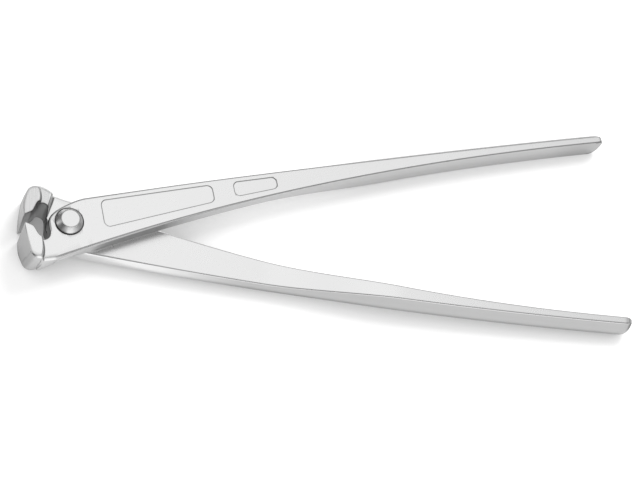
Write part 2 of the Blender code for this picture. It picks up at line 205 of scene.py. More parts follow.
class RivetSizes(bpy.types.PropertyGroup):
    """The rivet: a flat-topped cone for a head, a shank, and a low head formed on the back."""
    shank_radius: length("Shank radius", 0.0048, "Radius of the shank")
    bore_clearance: length("Bore clearance", 0.0003, "Between the shank and the bores")
    seat_gap: length("Seat gap", 0.0003, "Between the heads and the plates")
    head_radius: length("Head radius", 0.0062, "Radius of the foot of the head")
    face_radius: length("Face radius", 0.0043, "Radius of the flat on top of the head")
    head_rim: length("Head rim", 0.0003, "Height of the upright rim at the head's foot")
    face_round: length("Face round", 0.00022, "Rounding between the flat and the cone")
    cone_hollow: length("Cone hollow", 0.00008, "How far the cone is turned hollow")
    back_radius: length("Back radius", 0.0064, "Radius of the formed head on the back")
    back_height: length("Back height", 0.0014, "Height of the formed head on the back")
    back_rim: amount("Back rim", 0.35, "Height of the formed head's upright rim, as a share of its height")
    back_fullness: amount("Back fullness", 0.6, "1 for an elliptical dome, less for a fuller one")


class SteelLook(bpy.types.PropertyGroup):
    """The plated finish."""
    lever_tone: tone("Lever tone", 0.80, "Colour of the levers' plating")
    rivet_tone: tone("Rivet tone", 0.74, "Colour of the rivet's plating")
    lever_roughness: amount("Lever roughness", 0.28, "How blurred the levers' reflections are")
    rivet_roughness: amount("Rivet roughness", 0.22, "How blurred the rivet's reflections are")
    # Edge, crease and side shade are painted shade: they darken the plating on edges, in creases and on
    # upright sides
    edge_shade: amount("Edge shade", 0.55, "How much darker the plating is on a sharp edge")
    crease_shade: amount("Crease shade", 0.65, "How much darker the plating is in a crease")
    side_shade: amount("Side shade", 0.25, "How much darker the sides are, which stay as forged")
    side_roughness: amount("Side roughness", 0.10, "How much rougher the sides are")
    grind_shade: amount("Grinding shade", 0.16, "How much darker the ground lower faces of the jaws are")
    grind_streak: amount("Grinding streaks", 0.25, "Strength of the grinding streaks on those faces")
    cloud_size: length("Cloud size", 0.0110, "Size of the faint clouds in the plating")
    cloud_amount: amount("Cloud amount", 0.05, "Strength of the clouds")
    grain_size: length("Grain size", 0.00035, "Size of the blasted grain under the plating")
    grain_amount: amount("Grain amount", 0.05, "Strength of the grain in the roughness")
    lever_relief: amount("Lever relief", 0.12, "Strength of the grain's bumps on the levers")
    rivet_relief: amount("Rivet relief", 0.05, "Strength of the grain's bumps on the rivet")


class Studio(bpy.types.PropertyGroup):
    """A pale floor, one large soft lamp, and the camera."""
    lamp_level: amount("Lamp level", 15.0, "Brightness of the lamp's face")
    lamp_width: length("Lamp width", 0.45, "Width of the lamp")
    lamp_distance: length("Lamp distance", 1.20, "From the tool to the lamp")
    floor_tone: tone("Floor tone", 0.50, "Colour of the floor")
    floor_glow: amount("Floor glow", 0.69, "White added to the floor in the picture and in the metal")
    floor_size: length("Floor size", 12.0, "Width of the floor")
    focal_length: bpy.props.FloatProperty(
        name="Focal length", default=112.75, description="Focal length of the camera", unit="CAMERA")


# The pages of sizes: the name of each in the scene, and its class
pages = (
    ("pliers_handle", HandleSizes),
    ("pliers_head", HeadSizes),
    ("pliers_edges", EdgeSizes),
    ("pliers_panels", PanelSizes),
    ("pliers_rivet", RivetSizes),
    ("pliers_steel", SteelLook),
    ("pliers_studio", Studio),
)

# Surfaces worked out with numpy

# Stations along a lever, rows round it, and steps of the turned pieces and the panels' outlines
handle_stations = 230
tip_stations = 16
zone_stations = {
    "shoulder": 60, "nose": 10, "foot": 6, "wall": 22, "block": 26, "step": 8, "claw": 44, "face": 20,
    "bevel": 16,
}
ring_spans = {"face": 9, "inner_fillet": 10, "inner_wall": 12, "palm_fillet": 8, "palm_wall": 16}
rivet_steps = {"face": 11, "rim": 6, "cone": 14, "lip": 4, "dome": 15}
turned_steps = 160
panel_corner_steps = 14
panel_side_steps = 30
panel_sizes = ("left", "right", "palm", "inner", "end", "corner")

# The row beside an edge, as a length and as the largest share of a face, the least height of a wall, and
# how near the points of a closed pole lie
support = 0.00012
support_limit = 0.2
least_height = 1e-6
pole_reach = 1e-7

# Powers of the curves that round an edge: 1 is a straight chamfer, and 2 a quarter circle or ellipse
inner_fillet_power = 1.3
block_fillet_power = 1.1
palm_fillet_power = 2.0
tip_bulge_power = 2.0

# The most that a fillet's normal turns and that a wall leans, and the angle from which an edge is sharp
steepest_turn = math.radians(89.0)
steepest_lean = 0.8
smooth_angle = math.radians(24.0)
three_quarters = math.pi * 1.5

# Marks on the faces. A turn is a part of the unit normal, and a lift is its upright part. A pair of either,
# or of places along X, runs from no effect to the full one. An extra is a share added to the side's mark.
# The edge, rim, cap, crease and side marks darken the plating as painted shade, and each extra deepens that
# painted shade on the palm side, the fronts, towards a handle's end or where a handle's side looks down
edge_scale = 0.00125
small_face = 6e-7
tiny = 1e-12
facing_turns = (0.0, 0.3)
side_lifts = (0.45, 0.72)
palm_side_share = 1.5
palm_side_range = (0.03, 0.09)
inner_edge_softness = 0.7
inner_edge_range = (-0.16, 0.0)
grind_start = -0.0095
grind_level = -0.6
front_turns = (0.5, 0.9)
jaw_front_extra = 0.8
nose_extra = 1.6
tip_extra = 0.5
tip_extra_range = (0.24, 0.275)
belly_extra = 0.5
belly_turns = (-0.2, 0.4)
cap_start = 0.265
cap_turns = (0.3, 0.7)
cap_lifts = (0.1, 0.35)

# For each node: the lifts between which the palm side's rim is darkened as painted shade, how dark it is,
# and 1 where the piece's own +Z is up once it is in place, or -1
rim_marks = {
    "front_lever": ((0.50, 0.62, 0.95, 0.99), 1.0, 1.0),
    "rear_lever": ((0.72, 0.84, 0.96, 0.995), 0.5, -1.0),
    "rivet": ((0.50, 0.62, 0.95, 0.99), 0.0, 1.0),
}

# The ring of painted shade at the foot of the rivet's cone: how far down the cone it starts, how strong it
# is at the foot, and how far out it goes, in radii of the head
cone_unshaded_share = 0.78
cone_foot_shade = 0.42
cone_foot_shade_reach = 2.0

# For each zone of the head, from its start to its end: how far the underside has sunk from the lap to the
# block, how far the block has grown to the jaw's full width, how round the outer edge is, how far the walls
# stand out, how far the faces are bowed back, and how far the palm side's edge has narrowed to a fine one
share_names = ("sunk", "grown", "rounded", "flare", "bowed", "keen")
zone_shares = {
    "shoulder": ((0, 0), (0, 0), (0.0, 0.5), (1, 1), (0, 0), (0, 0)),
    "nose": ((0, 0), (0, 0), (0.5, 0.7), (1, 1), (0, 0), (0, 0)),
    "foot": ((0, 0), (0, 0), (0.7, 0.8), (1, 1), (0, 0), (0, 1)),
    "wall": ((0, 1), (0, 0), (0.8, 1.0), (1, 1), (0, 0), (1, 1)),
    "block": ((1, 1), (0, 0), (1.0, 1.0), (1, 1), (0, 1), (1, 1)),
    "step": ((1, 1), (0, 1), (1.0, 1.0), (1, 1), (1, 1), (1, 1)),
    "claw": ((1, 1), (1, 1), (1.0, 0.0), (1, 1), (1, 0), (1, 1)),
    "face": ((1, 1), (1, 1), (0.0, 0.0), (1, 1), (0, 0), (1, 1)),
    "bevel": ((1, 1), (1, 1), (0.0, 0.0), (1, 0), (0, 0), (1, 1)),
}

# The profile of the recess under the rivet's head, from its floor up to clear of the plate: how far out
# from its wall and how far up, as shares of its depth
recess_profile_shares = ((-1 / 3, 0), (0, 1 / 3), (0, 2 / 3), (1, 4 / 3), (4 / 3, 10))

# The profile of a panel's cutter from its floor upwards: how far out, as a share of the wall's lean, and
# how far up, as a share of the panel's depth
panel_profile_shares = (
    (-1.6, -1.0), (-1.25, -0.96), (-1.0, -0.84), (-0.85, -0.7), (-0.25, -0.25), (-0.08, -0.1), (0.35, 0.08),
    (1.4, 0.5), (1.5, 4.0),
)


def smooth_share(value, start, end):
    """0 before start, 1 after end, and an even S curve between them."""
    share = np.clip((value - start) / (end - start), 0.0, 1.0)
    return share * share * (3 - 2 * share)


def soft_max(first, last, reach):
    """The larger of two levels, with the corner between them filled by a parabola of that reach."""
    near = np.maximum(reach - np.abs(first - last), 0.0) / reach
    return np.maximum(first, last) + near * near * reach / 4


def soft_min(first, last, reach):
    return -soft_max(-first, -last, reach)


def arc(centre, radius, turns):
    """Points at the given turns on a circle."""
    return np.stack([centre[0] + radius * np.cos(turns), centre[1] + radius * np.sin(turns)], axis=-1)


def cubic(start, start_pull, end_pull, end, share):
    """Points on a cubic Bezier curve, at shares of its way from start to end."""
    share = share[:, None]
    rest = 1 - share
    return (rest ** 3 * start + 3 * rest ** 2 * share * start_pull + 3 * rest * share ** 2 * end_pull
            + share ** 3 * end)


def unit(vectors):
    return vectors / np.linalg.norm(vectors, axis=-1, keepdims=True)


def outward(points, turn):
    """Unit vectors square to a plan curve, from the points on either side of each. Turn is 1 or -1."""
    run = np.concatenate([points[1:2] - points[:1], points[2:] - points[:-2], points[-1:] - points[-2:-1]])
    return unit(np.stack([run[:, 1], -run[:, 0]], axis=-1) * turn)


def softened(points, passes):
    """The curve with each inner point moved, pass after pass, half way to the middle of its neighbours."""
    points = points.copy()
    for _ in range(passes):
        points[1:-1] = (points[:-2] + 2 * points[1:-1] + points[2:]) / 4
    return points


class LeverForm:
    """The plan curves and levels of one lever, drawn closed in its own frame."""

    def __init__(self, scene, bow):
        self.handle = scene.pliers_handle
        self.head = scene.pliers_head
        self.edges = scene.pliers_edges
        self.bow = bow

    def outer_edge(self, x):
        """The palm edge: a straight line from shoulder to tip, with a shallow parabolic arch added."""
        handle = self.handle
        share = x / handle.tip_reach
        return (handle.shoulder_offset + (handle.tip_offset - handle.shoulder_offset) * share
                + 4 * self.bow * share * (1 - share))

    def inner_edge(self, x):
        """The palm edge less the width, which is a power of the distance left to the tip."""
        handle = self.handle
        width = handle.tip_width + (handle.root_width - handle.tip_width) * (
            1 - x / handle.tip_reach) ** handle.taper_power
        return self.outer_edge(x) - width

    def top_level(self, x):
        """The plate's thickness, falling along an S curve to half the grip's."""
        handle = self.handle
        plate = self.head.plate_thickness
        fallen = smooth_share(x, handle.fall_start, handle.fall_end)
        return plate + (handle.grip_thickness / 2 - plate) * fallen

    def low_level(self, x):
        """The lap plane, falling along an S curve to half the grip's thickness below it."""
        handle = self.handle
        lap = self.head.lap_gap / 2
        return lap - (handle.grip_thickness / 2 + lap) * smooth_share(x, handle.lap_end, handle.grip_start)

    def plate_edge(self, x):
        """The inner side's edge: wide at the plate, narrowing along the handle."""
        edges = self.edges
        return edges.plate + (edges.inner - edges.plate) * smooth_share(x, 0.0, edges.plate_fade)

    def stretch(self, palm, inner, top, low, palm_edge, edge, **others):
        """A stretch of stations: curves, levels and edges, with plain values for what isn't given."""
        none = 0 * top
        given = {
            "palm": palm, "inner": inner, "inner_low": inner, "top": top, "low": low,
            "palm_inset": palm_edge - self.edges.fine, "palm_edge": palm_edge,
            "top_edge": edge, "low_edge": edge, "palm_crown": none, "inner_crown": none,
            "flare": none + 1, "bow": none, "inner_power": none + inner_fillet_power,
        }
        given.update(others)
        return given

    def tip(self):
        """The end of the handle, which closes to a point near its inner side and its middle height.

        Its width, its underside, its flat face and the palm side's bulge each shrink as a superellipse: the
        p-th root of 1 less the p-th power of the share of that rounding gone by.
        """
        handle, edges = self.handle, self.edges
        turn = np.linspace(math.pi / 2, 0.0, tip_stations, endpoint=False)
        left = max(handle.tip_plan_round, handle.tip_low_round) * (1 - np.sin(turn))
        x = handle.tip_reach - left

        def rounded(reach, power):
            return (1 - np.clip(1 - left / reach, 0.0, 1.0) ** power) ** (1 / power)

        width = rounded(handle.tip_plan_round, handle.tip_plan_power)
        fall = rounded(handle.tip_face_round, handle.tip_face_power)
        rise = rounded(handle.tip_low_round, handle.tip_low_power)
        bulge = rounded(handle.tip_bulge_round, tip_bulge_power)
        size = np.minimum(width, rise)
        outer = self.outer_edge(x)
        inner = self.inner_edge(x)
        end = inner + (outer - inner) * handle.tip_side
        palm = np.stack([x, end + (outer - end) * width], axis=-1)
        inner_side = np.stack([x, end + (inner - end) * width], axis=-1)
        half = handle.grip_thickness / 2
        level = half * handle.tip_level
        return self.stretch(
            palm, inner_side, level + (half - level) * fall, level - (half + level) * rise,
            edges.palm * size, edges.inner * size,
            palm_inset=(edges.palm - edges.fine) * size, palm_crown=handle.palm_bulge * bulge)

    def bar(self):
        """The handle from its straight end to the shoulder.

        The palm side's bulge grows along an S curve, and with the square of the thickness.
        """
        handle, edges = self.handle, self.edges
        tip_start = handle.tip_reach - max(handle.tip_plan_round, handle.tip_low_round)
        x = np.linspace(tip_start, self.head.shoulder_start, handle_stations, endpoint=False)
        inner = np.stack([x, self.inner_edge(x)], axis=-1)
        top, low = self.top_level(x), self.low_level(x)
        narrowed = smooth_share(x, self.head.shoulder_start, edges.shoulder_fade)
        palm_edge = edges.shoulder + (edges.palm - edges.shoulder) * narrowed
        bulge = smooth_share(x, handle.bulge_start, handle.bulge_full)
        bulge = handle.palm_bulge * bulge * ((top - low) / handle.grip_thickness) ** 2
        return self.stretch(np.stack([x, self.outer_edge(x)], axis=-1), inner, top, low, palm_edge,
                            self.plate_edge(x), palm_crown=bulge)

    def head_plan(self):
        """For each zone of the head: the palm curve, and the inner curve at its top and at its low end.

        The shoulder is a cubic curve, the window's end and the jaw's outer corners are circles, the block's
        low edge is a quarter superellipse, and the jaw's front is a parabola. All else is straight.
        """
        head = self.head
        reach = head.head_reach
        window = np.array([-(head.plate_nose + head.window_radius), -head.window_drop])
        corner = np.array([head.corner_inset - reach, -head.corner_drop])
        low_corner = np.array([head.low_inset - reach, -head.low_drop])
        shares = {zone: np.linspace(0.0, 1.0, steps + 1) for zone, steps in zone_stations.items()}

        def back(zone, first, last, first_draft, last_draft):
            x = first + (last - first) * shares[zone]
            draft = first_draft + (last_draft - first_draft) * shares[zone]
            y = self.inner_edge(x)
            return np.stack([x, y], axis=-1), np.stack([x, y + draft], axis=-1)

        def round_window(zone, first, last):
            return arc(window, head.window_radius, first + (last - first) * shares[zone])

        def straight(zone, first, last):
            return first + (last - first) * shares[zone][:, None]

        def front(first, crown):
            """The front of the jaw from its corner to the cutting edge, arched by its crown."""
            share = np.concatenate([shares["face"] / 2, 0.5 + shares["bevel"] / 2])
            points = first + (cutting_edge - first) * share[:, None]
            points[:, 0] -= 4 * crown * share * (1 - share)
            return points[:len(shares["face"])], points[len(shares["face"]):]

        lead = head.shoulder_start - head.shoulder_lead
        nose_top = np.array([-head.plate_nose, head.nose_rise])
        shoulder = cubic(
            np.array([head.shoulder_start, self.outer_edge(head.shoulder_start)]),
            np.array([lead, self.outer_edge(lead)]), nose_top + np.array([0.0, head.nose_lead]), nose_top,
            shares["shoulder"])
        nose_foot = np.array([-head.plate_nose, -head.foot_drop])
        window_start = np.array([-head.plate_nose, -head.window_drop])

        window_end = head.face_lean - three_quarters
        face_start = arc(window, head.window_radius, window_end)
        face_way = np.array([math.cos(head.face_lean), math.sin(head.face_lean)])
        face_end = face_start + head.face_length * face_way
        cutting_edge = np.array([head.edge_setback - reach, 0.0])
        edge_back = cutting_edge + np.array([head.edge_land, 0.0])

        outer = -(head.corner_drop + head.corner_radius)
        wall_end = np.array([-head.wall_head_back, self.inner_edge(-head.wall_head_back)])
        step_foot = np.array([head.step_foot - reach, outer])
        step_top = np.array([head.step_top - reach, outer])
        wall_low = wall_end + np.array([0.0, head.wall_draft])
        foot_low = step_foot + np.array([0.0, head.step_draft])
        turn = shares["block"] * math.pi / 2
        power = 2 / head.block_power
        block_low = np.stack([
            foot_low[0] + (wall_low[0] - foot_low[0]) * np.maximum(np.cos(turn), 0.0) ** power,
            wall_low[1] + (foot_low[1] - wall_low[1]) * np.sin(turn) ** power], axis=-1)
        low_turns = head.low_start + (head.corner_end - head.low_start) * shares["claw"]
        claw_low = arc(low_corner, head.low_radius, low_turns)

        # The claw's outer curve goes straight to the corner and then round it, by equal lengths
        radius = head.corner_radius
        corner_start = arc(corner, radius, three_quarters)
        flat = np.linalg.norm(step_top - corner_start)
        along = shares["claw"] * (flat + radius * (three_quarters - head.corner_end))
        claw = np.where(
            (along < flat)[:, None],
            step_top + (corner_start - step_top) * np.minimum(along / flat, 1.0)[:, None],
            arc(corner, radius, three_quarters - np.maximum(along - flat, 0.0) / radius))
        face_front, bevel_front = front(claw[-1], head.front_crown)
        face_low, bevel_low = front(claw_low[-1], head.low_front_crown)

        plate, wall = head.plate_draft, head.wall_draft
        return {
            "shoulder": (shoulder, *back("shoulder", head.shoulder_start, -head.shoulder_back, 0.0, plate)),
            "nose": (straight("nose", nose_top, nose_foot),
                     *back("nose", -head.shoulder_back, -head.nose_back, plate, plate)),
            "foot": (straight("foot", nose_foot, window_start),
                     *back("foot", -head.nose_back, -head.wall_foot_back, plate, plate)),
            "wall": (round_window("wall", 0.0, head.wall_head_turn),
                     *back("wall", -head.wall_foot_back, -head.wall_head_back, plate, wall)),
            "block": (round_window("block", head.wall_head_turn, head.step_turn),
                      straight("block", wall_end, step_foot), block_low),
            "step": (round_window("step", head.step_turn, head.step_end_turn),
                     straight("step", step_foot, step_top), straight("step", foot_low, claw_low[0])),
            "claw": (round_window("claw", head.step_end_turn, window_end), claw, claw_low),
            "face": (straight("face", face_start, face_end), face_front, face_low),
            "bevel": (straight("bevel", face_end, edge_back), bevel_front, bevel_low),
        }

    def head_strip(self):
        """The head's stations: the plan curves, with the levels and edges that go with them.

        The flat face climbs the step in proportion to the distance gone, as a line with rounded ends, and
        the underside sinks along an S curve. Every other value goes straight across its zone.
        """
        head, edges = self.head, self.edges
        plan = self.head_plan()
        parts = {name: [] for name in ("palm", "inner", "inner_low") + share_names}
        for zone, curves in plan.items():
            first = 1 if parts["palm"] else 0
            share = np.linspace(0.0, 1.0, zone_stations[zone] + 1)
            for name, values in zip(("palm", "inner", "inner_low"), curves):
                parts[name].append(values[first:])
            for name, (start, end) in zip(share_names, zone_shares[zone]):
                parts[name].append((start + (end - start) * share)[first:])
        parts = {name: np.concatenate(values) for name, values in parts.items()}

        # The inner curves are softened as far as the jaw's inner face, and the palm curve from there on
        end = sum(zone_stations[zone] for zone in plan if zone not in ("face", "bevel"))
        for name in ("inner", "inner_low"):
            parts[name][:end] = softened(parts[name][:end], edges.softening)
        parts["palm"][end:] = softened(parts["palm"][end:], head.edge_softening)

        # The distance gone is taken half way between the two sides
        run = np.linalg.norm(np.diff(parts["palm"] + parts["inner"], axis=0), axis=1) / 2
        gone = np.concatenate([[0.0], np.cumsum(run)])
        inside = np.flatnonzero((parts["grown"] > 0) & (parts["grown"] < 1))
        start, stop = gone[inside[0] - 1], gone[inside[-1] + 1]
        half = head.jaw_width / 2
        rise = head.plate_thickness + (half - head.plate_thickness) * (gone - start) / (stop - start)
        level = soft_min(soft_max(head.plate_thickness, rise, edges.step_round), half, edges.step_round)
        level = np.clip(level, head.plate_thickness, half)
        lap = head.lap_gap / 2
        base = np.where(parts["grown"] > 0, edges.fine, self.plate_edge(0.0))
        palm_edge = edges.shoulder + (edges.fine - edges.shoulder) * parts["keen"]
        low = lap - (level + lap) * smooth_share(parts["sunk"], 0.0, 1.0)
        return self.stretch(
            parts["palm"], parts["inner"], level, low, palm_edge, base, inner_low=parts["inner_low"],
            top_edge=base + (edges.block - base) * parts["rounded"], flare=parts["flare"],
            inner_crown=head.block_crown * parts["rounded"], bow=head.step_bow * parts["bowed"],
            inner_power=inner_fillet_power + (block_fillet_power - inner_fillet_power) * parts["sunk"])

    def strip(self):
        """All the stations, from the tip of the handle to the cutting edge."""
        pieces = (self.tip(), self.bar(), self.head_strip())
        return {name: np.concatenate([piece[name] for piece in pieces]) for name in pieces[0]}


def flat_rows(first, last, level, bow, spans):
    """Rows across a flat face from first to last, with a row close to each edge, the last one left out.

    The middle of the face is pushed back along X by the bow, as a parabola from edge to edge.
    """
    width = np.linalg.norm(last - first, axis=-1)
    close = np.minimum(support / np.maximum(width, support), support_limit)
    inside = np.linspace(0.0, 1.0, spans - 1)
    rows = []
    for share in [0.0 * close] + [close + (1 - 2 * close) * value for value in inside]:
        place = first + (last - first) * share[:, None]
        place[:, 0] += bow * 4 * share * (1 - share)
        rows.append(np.column_stack([place, level]))
    return rows


def fillet_shares(turn_end, power, spans):
    """How far out and down each row of a fillet lies, in edge sizes, up to the normal's last turn.

    The fillet is a superellipse: the sum of the p-th powers of x and y is 1. With p a little over 1 it is a
    chamfer with rounded ends. Its rows lie where the normal has turned by equal steps, and it is stretched
    to end at (1, 1).
    """
    shares = []
    for step in range(spans + 1):
        ratio = np.tan(np.minimum(turn_end * step / spans, steepest_turn)) ** (1 / (power - 1))
        down = (1 + ratio ** power) ** (-1 / power)
        shares.append((ratio * down, 1 - down))
    out_end, down_end = shares[-1]
    return [(out / out_end, down / down_end) for out, down in shares[:-1]]


def wall_rows(ends, normals, levels, edge_sizes, crown, flare, power, spans, fillet_spans):
    """Rows down a side, from one flat face to the other, the last one left out.

    Each fillet runs from the flat face to a point one edge size out and down, where it meets the wall.
    The wall goes straight between those points and bulges as half a sine wave, whose slope at its ends sets
    how far each fillet's normal turns.
    """
    first, last = ends
    first_edge, last_edge = edge_sizes
    drop = np.sign(levels[0] - levels[1])
    drop = np.where(drop == 0, 1.0, drop)
    height = np.abs(levels[0] - levels[1]) - first_edge - last_edge
    height = np.maximum(height, least_height)
    leaned = np.sum((last - first) * normals[0], axis=1) + last_edge - first_edge
    turn_first = math.pi / 2 - np.arctan(np.clip((math.pi * crown + leaned) / height, 0.0, steepest_lean))
    turn_last = math.pi / 2 - np.arctan(np.clip((math.pi * crown - leaned) / height, 0.0, steepest_lean))

    def row(place, normal, out, level):
        return np.column_stack([place + normal * (out * flare)[:, None], level])

    rows = []
    for out, down in fillet_shares(turn_first, power, fillet_spans):
        rows.append(row(first, normals[0], out * first_edge, levels[0] - drop * down * first_edge))
    for share in np.arange(spans) / spans:
        out = first_edge + (last_edge - first_edge) * share + crown * math.sin(math.pi * share)
        place = first + (last - first) * share
        normal = unit(normals[0] + (normals[1] - normals[0]) * share)
        level = levels[0] - drop * first_edge
        level = level + (levels[1] + drop * last_edge - level) * share
        rows.append(row(place, normal, out, level))
    rows.append(row(last, normals[1], last_edge, levels[1] + drop * last_edge))
    for out, down in fillet_shares(turn_last, power, fillet_spans)[:0:-1]:
        rows.append(row(last, normals[1], out * last_edge, levels[1] + drop * down * last_edge))
    return rows


def lever_grid(form):
    """The lever's surface: a closed ring of points round each station, from the tip to the cutting edge.

    A ring goes over the flat face, down the inner side, back under and up the palm side.
    """
    strip = form.strip()
    palm, inner, inner_low = strip["palm"], strip["inner"], strip["inner_low"]
    top, low, flare = strip["top"], strip["low"], strip["flare"]
    normals = {"palm": outward(palm, 1), "inner": outward(inner, -1), "inner_low": outward(inner_low, -1)}
    for name in normals:
        normals[name][:tip_stations] = normals[name][tip_stations]
    palm = palm - normals["palm"] * strip["palm_inset"][:, None]
    rows = flat_rows(palm, inner, top, strip["bow"], ring_spans["face"])
    rows += wall_rows((inner, inner_low), (normals["inner"], normals["inner_low"]), (top, low),
                      (strip["top_edge"], strip["low_edge"]), strip["inner_crown"], flare,
                      strip["inner_power"], ring_spans["inner_wall"], ring_spans["inner_fillet"])
    rows += flat_rows(inner_low, palm, low, strip["bow"], ring_spans["face"])
    rows += wall_rows((palm, palm), (normals["palm"], normals["palm"]), (low, top),
                      (strip["palm_edge"], strip["palm_edge"]), strip["palm_crown"], flare,
                      palm_fillet_power, ring_spans["palm_wall"], ring_spans["palm_fillet"])
    return np.stack(rows, axis=1)


def ring_mesh(name, grid):
    """A closed mesh of a grid of closed rings, both ends capped.

    Its volume is the sum of each triangle's volume from the origin. Where it is negative, faces are turned.
    """
    stations, around = grid.shape[:2]
    corner = np.arange(stations * around).reshape(stations, around)
    nearer, further = corner[:-1], corner[1:]
    quads = np.stack([nearer, np.roll(nearer, -1, axis=1), np.roll(further, -1, axis=1), further], axis=-1)
    quads = quads.reshape(-1, 4)
    first_cap, last_cap = corner[0][::-1], corner[-1]
    points = grid.reshape(-1, 3)
    a, b, c, d = (points[quads[:, k]] for k in range(4))
    volume = np.sum(a * np.cross(b, c)) + np.sum(a * np.cross(c, d))
    faces = quads.tolist() + [first_cap.tolist(), last_cap.tolist()]
    if volume < 0:
        faces = [face[::-1] for face in faces]
    mesh = bpy.data.meshes.new(name)
    mesh.from_pydata(points.tolist(), [], faces)
    merge_poles(mesh)
    return mesh


def merge_poles(mesh):
    """Merge the points of a closed pole to one."""
    shape = bmesh.new()
    shape.from_mesh(mesh)
    bmesh.ops.remove_doubles(shape, verts=shape.verts, dist=pole_reach)
    shape.to_mesh(mesh)
    shape.free()


def turned_grid(profile, steps):
    """A profile of radii and levels carried round the Z axis."""
    turn = np.arange(steps) * 2 * math.pi / steps
    radius, level = profile[:, 0][:, None], profile[:, 1][:, None]
    return np.stack([radius * np.cos(turn), radius * np.sin(turn), level + 0 * turn], axis=-1)


def rounded_outline(corners, radius, corner_steps, side_steps):
    """A four-sided outline with an arc at each corner, and points along the sides between them."""
    corners = np.array(corners)
    before = unit(np.roll(corners, 1, axis=0) - corners)
    after = unit(np.roll(corners, -1, axis=0) - corners)
    half = np.arccos(np.sum(before * after, axis=1)) / 2
    centre = corners + unit(before + after) * (radius / np.sin(half))[:, None]
    first = corners + before * (radius / np.tan(half))[:, None] - centre
    last = corners + after * (radius / np.tan(half))[:, None] - centre
    start = np.arctan2(first[:, 1], first[:, 0])
    swing = np.arctan2(last[:, 1], last[:, 0]) - start
    swing = (swing + math.pi) % (2 * math.pi) - math.pi
    turns = start[:, None] + swing[:, None] * np.linspace(0.0, 1.0, corner_steps + 1)
    arcs = centre[:, None] + radius * np.stack([np.cos(turns), np.sin(turns)], axis=-1)
    ends = np.roll(arcs[:, 0], -1, axis=0)
    share = np.arange(1, side_steps)[:, None] / side_steps
    sides = arcs[:, -1][:, None] + (ends - arcs[:, -1])[:, None] * share
    return np.concatenate([arcs, sides], axis=1).reshape(-1, 2)


def panel_grid(form, corners, radius):
    """The cutter of a panel: its rounded outline, carried up a profile from below the lever's face."""
    edges = form.edges
    outline = rounded_outline(corners, radius, panel_corner_steps, panel_side_steps)
    closed = np.concatenate([outline[-1:], outline, outline[:1]])
    normal = outward(closed, 1)[1:-1]
    middle = outline.mean(axis=0)
    if np.sum(normal * (outline - middle)) < 0:
        normal = -normal
    foot = panel_profile_shares[0]
    rows = [(foot[0] * edges.panel_wall - edges.panel_line, foot[1] * edges.panel_depth)]
    rows += [(out * edges.panel_wall, rise * edges.panel_depth) for out, rise in panel_profile_shares]
    grid = []
    for out, rise in rows:
        place = outline + normal * out
        grid.append(np.column_stack([place, form.top_level(place[:, 0]) + rise]))
    return np.stack(grid)


def panel_corners(form, left, right, palm_margin, inner_margin, end_margin):
    """The corners of a sunk panel, kept off the two edges of the flat face."""
    return [
        (left, form.outer_edge(left) - palm_margin), (left, form.inner_edge(left) + inner_margin),
        (right, form.inner_edge(right) + end_margin), (right, form.outer_edge(right) - palm_margin),
    ]


def cut_mesh(mesh, cutters):
    """The mesh with every cutter taken out of it by an exact Boolean."""
    item = bpy.data.objects.new(mesh.name, mesh)
    bpy.context.collection.objects.link(item)
    tools = []
    for cutter in cutters:
        tool = bpy.data.objects.new(cutter.name, cutter)
        bpy.context.collection.objects.link(tool)
        modifier = item.modifiers.new(cutter.name, "BOOLEAN")
        modifier.operation = "DIFFERENCE"
        modifier.object = tool
        tools.append(tool)
    shaped = item.evaluated_get(bpy.context.evaluated_depsgraph_get())
    result = bpy.data.meshes.new_from_object(shaped)
    for tool in tools + [item]:
        bpy.data.objects.remove(tool)
    return result


def store(mesh, name, values):
    """Store a number at each corner of each face."""
    attribute = mesh.attributes.new(name, "FLOAT", "CORNER")
    attribute.data.foreach_set("value", values.astype(np.float32))


def read(items, field, width, kind=np.float32):
    """A field of a mesh's points, edges, corners or faces, as an array."""
    values = np.empty(len(items) * width, kind)
    items.foreach_get(field, values)
    return values.reshape(-1, width) if width > 1 else values


def bends(mesh, points):
    """How fast the surface turns at each point, as the mean over the mesh edges there.

    Along an edge it is the change of the normal, taken along the edge, over the edge's length squared.
    """
    count_points = len(points)
    normals = read(mesh.vertices, "normal", 3)
    first, last = read(mesh.edges, "vertices", 2, np.int32).T
    run = points[last] - points[first]
    turn = np.sum((normals[last] - normals[first]) * run, axis=1)
    turn = turn / np.maximum(np.sum(run * run, axis=1), tiny)
    total = np.bincount(first, turn, count_points) + np.bincount(last, turn, count_points)
    number = np.bincount(first, minlength=count_points) + np.bincount(last, minlength=count_points)
    return total / np.maximum(number, 1) * edge_scale


